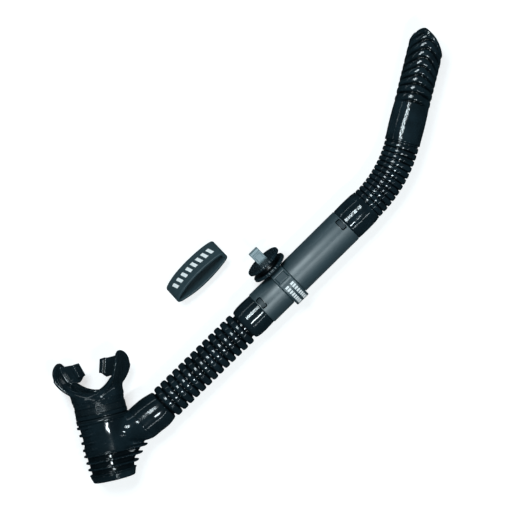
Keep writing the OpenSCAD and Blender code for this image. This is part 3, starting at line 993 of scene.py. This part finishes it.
def upper_tube_mesh():
    cuff, bend = 22.0, BEND_R * BEND
    seg, count = 120, 12
    pitch = (bend - 1.2) / count
    rows = [(0.05, 12.0, 0.0), (0.05, 13.0, 0.0), (0.25, 13.4, 0.0)]
    for u in np.linspace(0.7, cuff - 0.2, 30):
        r = 13.7 + 0.25 * math.sin(math.pi * min(1.0, u / 19.0) ** 0.9)
        rows.append((u, r - 0.55 * float(ease(u, cuff - 4.5, cuff - 0.2)), 0.0))
    per_ring = 24
    for i in range(count * per_ring):
        u = cuff + i * pitch / per_ring
        f = (i % per_ring) / per_ring
        groove = math.exp(-((min(f, 1 - f) * pitch / 0.45) ** 4))
        crown = 0.45 * (1 - (2 * f - 1) ** 2)
        rows.append((u, 12.7 + crown - 1.1 * groove, 1.0))
    rows.append((cuff + count * pitch, 12.35, 0.0))
    rows.append((cuff + bend - 0.03, 12.3, 0.0))
    rows.append((cuff + bend - 0.03, UPPER_BORE, 0.0))
    for u in np.linspace(cuff + bend - 1.0, 14.0, 40):
        rows.append((u, UPPER_BORE, 0.0))
    rows.append((13.1, UPPER_BORE, 0.0))
    rows.append((13.0, 12.0, 0.0))
    angle = np.arange(seg) * 2 * math.pi / seg
    pts = []
    for u, r, ringed in rows:
        # the corrugation opens up on the outside of the bend
        swell = ringed * (0.1 * (r - 12.8)) * -np.cos(angle)
        rr = r + swell
        pts.append(np.stack([np.full(seg, u), rr * np.cos(angle), rr * np.sin(angle)], -1))
    pts = along_bend(np.concatenate(pts))
    # painted shade: the grooves between the rings are darkened by how far in each point lies
    outer = np.array([r if ringed else 13.0 for _, r, ringed in rows])
    shade_mask = np.repeat(ease(-outer, -12.9, -12.3), seg)
    return new_mesh("upper_flex_tube", pts, grid_faces(len(rows), seg), groove=shade_mask)


upper_tube = upper_tube_mesh()
finish_piece(upper_tube, None, "upper_flex_tube", RIPPLED)
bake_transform(upper_tube)

# ---------------------------------------------------------------- tip

TIP_R, BORE_R = 13.1, 10.5
TIP_LONG, SLANT = 87.0, 15.8


def tip_length(y):
    """Where the slanted, convex open end lies, at the cross distance y."""
    far = np.clip((TIP_R - y) / 26.3, 0, 1.05)
    return TIP_LONG - SLANT * far**2.6


def nose(u, y):
    """The long side of the tip bends over the opening."""
    fold = 0.5 * np.clip((u - 75.5) / 11.5, 0, 1.05) ** 2.1
    return y * (1 - fold * ease(y, -6.0, 8.0))


def chevron(u, angle):
    """Height of the herringbone relief, and how much shade is painted in its grooves. angle is 0 at
    the top of the tube.
    """
    pitch = 6.8
    bent = np.sqrt(angle**2 + 0.09) - 0.3
    steep = 2.5 + 7.5 * ease(u, 34.0, 62.0)
    phase = (u - 31.0 + steep * np.minimum(bent, 2.2)) / pitch
    f = phase - np.floor(phase)
    swell = 0.6 * (1 - (2 * f - 1) ** 2)
    gap = np.minimum(f, 1 - f) * pitch
    groove = 1.7 * np.exp(-((gap / 0.75) ** 4))
    begin = ease(u, 29.0, 31.0)
    return (0.05 + swell - groove) * begin, np.exp(-((gap / 1.0) ** 2)) * begin


def tip_mesh():
    seg, n_rows = 168, 260
    angle = np.arange(seg) * 2 * math.pi / seg
    cos_a, sin_a = np.cos(angle), np.sin(angle)
    # angle round the tube from its top: + towards +Y
    top = np.arctan2(cos_a, sin_a)
    rows = []
    wall = (TIP_R - BORE_R) / 2
    rows.append((np.full(seg, 0.08), np.full(seg, BORE_R + 0.05)))
    rows.append((np.full(seg, 0.08), np.full(seg, 13.25)))
    rows.append((np.full(seg, 0.2), np.full(seg, 13.5)))
    length = tip_length(TIP_R * cos_a) - wall
    shade_mask = {}
    for i in range(n_rows):
        f = i / (n_rows - 1)
        u = 0.45 + f * (length - 0.45)
        lip = 0.3 * np.exp(-((u / 1.6) ** 2))
        smooth = 13.25 + 0.35 * np.sin(math.pi * np.clip(u / 30.0, 0, 1)) + lip
        smooth = smooth - 0.12 * ease(u, 24.0, 30.0)
        away = length - u
        calm = ease(away, 1.0, 4.5)
        r = smooth * (1 - ease(u, 28.0, 31.0)) + 13.05 * ease(u, 28.0, 31.0)
        relief, shade_level = chevron(u, top)
        r = r + (relief - 0.2 * ease(u, 29.0, 31.0)) * calm
        # painted shade in the chevron grooves, fading out near the rim
        shade_mask[len(rows)] = shade_level * calm
        # bead along the rim with a groove below it
        r = r + 0.3 * np.exp(-((away / 1.2) ** 2)) - 0.55 * np.exp(-(((away - 2.6) / 0.55) ** 2))
        rows.append((u, r))
    for k in range(1, 9):
        phi = math.pi * k / 9
        r = BORE_R + wall + wall * math.cos(phi) + 0.3 * (1 + math.cos(phi)) / 2
        u = tip_length(r * cos_a) - wall + wall * math.sin(phi)
        rows.append((u, np.full(seg, r)))
    inner = tip_length(BORE_R * cos_a) - wall
    for i in range(30):
        f = i / 29
        rows.append((inner + f * (1.0 - inner), np.full(seg, BORE_R)))
    pts = [np.stack([u + 0 * r, r * cos_a, r * sin_a], -1) for u, r in rows]
    p = np.concatenate(pts)
    p[:, 1] = nose(p[:, 0], p[:, 1])
    x = TIP_BASE[0] + p[:, 0] * math.cos(BEND) - p[:, 1] * math.sin(BEND)
    y = TIP_BASE[1] + p[:, 0] * math.sin(BEND) + p[:, 1] * math.cos(BEND)
    level = np.zeros(seg)
    shade_mask = np.concatenate([shade_mask.get(i, level) for i in range(len(rows))])
    p = np.stack([x, y, p[:, 2]], -1)
    return new_mesh("top_tube", p, grid_faces(len(rows), seg), groove=shade_mask)


tip = tip_mesh()
finish_piece(tip, "tip", "top_tube", RIPPLED)

# ---------------------------------------------------------------- strap keeper

FLOOR_Z = rest_bounds[0][2] / MM
BAND_W, BAND_T, LOOP_ACROSS = 18.0, 2.0, 14.4
BAND_TILT = math.radians(45.0)
BAND_AT = np.array(
    [-43.0, 54.0, -22.18 + (BAND_W * math.cos(BAND_TILT) + LOOP_ACROSS * math.sin(BAND_TILT)) / 2]
)
# the middle line of the loop, clockwise from its pointed end
LOOP = [
    (-24.4, 0.0), (-23.2, 1.75), (-19.0, 3.6), (-12.5, 5.25), (-5.0, 6.1), (3.0, 6.25),
    (11.0, 5.8), (17.5, 4.9), (22.0, 3.7), (24.2, 2.2), (23.3, 0.1), (24.2, -2.1), (22.2, -3.6),
    (17.5, -4.7), (11.0, -5.6), (3.0, -6.1), (-5.0, -5.9), (-12.5, -4.8), (-19.0, -3.1),
    (-23.2, -1.6),
]


def loop_line(count):
    """Evenly spaced points, and outward normals, on the loop's middle line."""
    p = np.array(LOOP)
    n = len(p)
    fine = []
    for i in range(n):
        a, b, c, d = p[i - 1], p[i], p[(i + 1) % n], p[(i + 2) % n]
        for t in np.linspace(0, 1, 24, endpoint=False):
            fine.append(
                0.5 * (2 * b + (c - a) * t + (2 * a - 5 * b + 4 * c - d) * t**2
                       + (3 * b - a - 3 * c + d) * t**3)
            )
    fine = np.array(fine)
    step = np.linalg.norm(np.roll(fine, -1, 0) - fine, axis=1)
    total = step.sum()
    s = np.concatenate([[0], np.cumsum(step)])
    closed = np.vstack([fine, fine[:1]])
    at = np.arange(count) * total / count
    line = np.stack([np.interp(at, s, closed[:, k]) for k in range(2)], -1)
    tangent = np.roll(line, -1, 0) - np.roll(line, 1, 0)
    tangent /= np.linalg.norm(tangent, axis=1, keepdims=True)
    normal = np.stack([-tangent[:, 1], tangent[:, 0]], -1)
    if np.einsum("ij,ij->i", line, normal).sum() < 0:
        normal = -normal
    return line, normal


def from_band(p):
    c, s = math.cos(BAND_TILT), math.sin(BAND_TILT)
    y = p[:, 1] * c - p[:, 2] * s
    z = p[:, 1] * s + p[:, 2] * c
    return np.stack([p[:, 0], y, z], -1) + BAND_AT


def ripple(x, v):
    """The keeper's faces are not quite flat. v is the distance across the strip."""
    return 0.10 * np.sin(x * 0.31 + 1.0) * np.cos(v * 0.17)


def band_mesh():
    count = 300
    line, normal = loop_line(count)
    section = fillet(rectangle(BAND_T / 2, BAND_W / 2), 0.6, 4, 0.2)
    # rows across the faces, so that the soft ripples show
    rich = []
    for i, a in enumerate(section):
        b = section[(i + 1) % len(section)]
        rich.append(a)
        extra = int(np.linalg.norm(b - a) // 1.3)
        for k in range(1, extra + 1):
            rich.append(a + (b - a) * k / (extra + 1))
    section = np.array(rich)
    pts = []
    for i in range(count):
        p = np.zeros((len(section), 3))
        p[:, :2] = line[i] + section[:, :1] * normal[i]
        p[:, 2] = section[:, 1]
        pts.append(p)
    pts = np.concatenate(pts)
    pts[:, 1] += ripple(pts[:, 0], pts[:, 2])
    return new_mesh("strap_band", from_band(pts), grid_faces(count, len(section)))


def band_marks():
    """Plain slanted bars in place of the print on the keeper's upper face."""
    count = 600
    line, normal = loop_line(count)
    # the upper face is the half with y above 0
    front = np.where(line[:, 1] > 1.2)[0]
    order = front[np.argsort(line[front, 0])]
    line, normal = line[order], normal[order]
    run = np.concatenate([[0], np.cumsum(np.linalg.norm(np.diff(line, axis=0), axis=1))])
    middle = np.interp(0.0, line[:, 0], run)
    pts, faces = [], []
    bars, width, height, lean, step, parts = 8, 2.7, 6.4, 1.6, 5.2, 6
    for i in range(bars):
        centre = middle + (i - (bars - 1) / 2) * step
        faces += slab_faces(len(pts), 3, parts + 1)
        for off in (BAND_T / 2 - 0.25, BAND_T / 2 + 0.09):
            for v in (-height / 2, 0.0, height / 2):
                for k in range(parts + 1):
                    u = centre + (k / parts - 0.5) * width + lean * v / height
                    x, y = (
                        np.interp(u, run, line[:, m]) + off * np.interp(u, run, normal[:, m])
                        for m in range(2)
                    )
                    pts.append((x, y + ripple(x, v), v))
    return new_mesh("band_print", from_band(np.array(pts)), faces, sharp=40)


band = band_mesh()
add_print(band, band_marks(), BAND)
finish_piece(band, "strap_band", "strap_band")

# ---------------------------------------------------------------- pieces kept as they are

KEPT = {
    "neck_spigot": (NYLON, "nylon_black"),
    "purge_seat": (NYLON, "nylon_black"),
    "purge_flap": (CLEAR_GREY, "silicone_clear_grey"),
    "arm_spigot": (NYLON, "nylon_black"),
    "lower_coupling": (NYLON, "nylon_black"),
    "lower_lock_tab": (TAB, "nylon_black"),
    "upper_coupling": (NYLON, "nylon_black"),
    "upper_lock_tab": (TAB, "nylon_black"),
    "top_ferrule": (NYLON, "nylon_black"),
}
for name, (mat, slot) in KEPT.items():
    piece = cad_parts[name]
    piece.data.materials.clear()
    piece.data.materials.append(mat)

# ---------------------------------------------------------------- floor, light and world

floor_mat = material(
    "pale floor", (0.52, 0.525, 0.53), 0.6, vary=0.01, rough_vary=0.03, grain=300.0, bump=0.02,
    broad=6.0,
)
floor_corners = [(x, y, FLOOR_Z) for x, y in rectangle(3000.0, 3000.0)]
floor = new_mesh("floor", floor_corners, [[0, 1, 2, 3]])
floor.data.materials.append(floor_mat)
# a light table: the floor glows a little, which lifts the shadows
glow = next(n for n in floor_mat.node_tree.nodes if n.type == "BSDF_PRINCIPLED")
glow.inputs["Emission Color"].default_value = (1.0, 1.0, 1.0, 1.0)
glow.inputs["Emission Strength"].default_value = 0.68
floor.visible_glossy = False


LIGHT_COLOR = (0.86, 1.0, 1.05)
AIM = Vector((0.0, 0.015, 0.0))


def soft_light(name, lean, along, distance, size, power):
    """A rectangular light. lean is its angle in degrees from straight above, towards +Y; along is its
    offset in metres along X."""
    data = bpy.data.lights.new(name, "AREA")
    data.shape = "RECTANGLE"
    data.size, data.size_y = size
    data.energy = power
    data.color = LIGHT_COLOR
    obj = bpy.data.objects.new(name, data)
    bpy.context.scene.collection.objects.link(obj)
    a = math.radians(lean)
    place = AIM + Vector((along, distance * math.sin(a), distance * math.cos(a)))
    obj.location = place
    obj.rotation_euler = (AIM - place).to_track_quat("-Z", "Y").to_euler()


soft_light("strip", -21, -0.05, 1.1, (0.3, 0.06), 4.4)
for i in range(3):
    for j in range(3):
        soft_light(f"pane_{i}{j}", 16 + 6 * j, -0.17 + 0.17 * i, 1.2, (0.11, 0.05), 0.95)
soft_light("side", 70, 0.0, 1.3, (1.0, 0.04), 0.7)
soft_light("far_side", -48, 0.0, 1.3, (0.9, 0.03), 1.4)

world = bpy.data.worlds.new("studio")
bpy.context.scene.world = world
world.use_nodes = True
wt = world.node_tree
wt.nodes.clear()
w_out = wt.nodes.new("ShaderNodeOutputWorld")
w_bg = wt.nodes.new("ShaderNodeBackground")
w_bg.inputs["Strength"].default_value = 1.0
w_at = wt.nodes.new("ShaderNodeTexCoord")
w_split = wt.nodes.new("ShaderNodeSeparateXYZ")
w_ramp = wt.nodes.new("ShaderNodeValToRGB")
w_ramp.color_ramp.elements[0].position = 0.0
w_ramp.color_ramp.elements[0].color = (0.01, 0.018, 0.022, 1)
w_ramp.color_ramp.elements[1].position = 0.9
w_ramp.color_ramp.elements[1].color = (0.035, 0.05, 0.058, 1)
wt.links.new(w_at.outputs["Generated"], w_split.inputs[0])
wt.links.new(w_split.outputs["Z"], w_ramp.inputs[0])
wt.links.new(w_ramp.outputs[0], w_bg.inputs[0])
wt.links.new(w_bg.outputs[0], w_out.inputs[0])

bpy.context.scene.view_settings.view_transform = "Standard"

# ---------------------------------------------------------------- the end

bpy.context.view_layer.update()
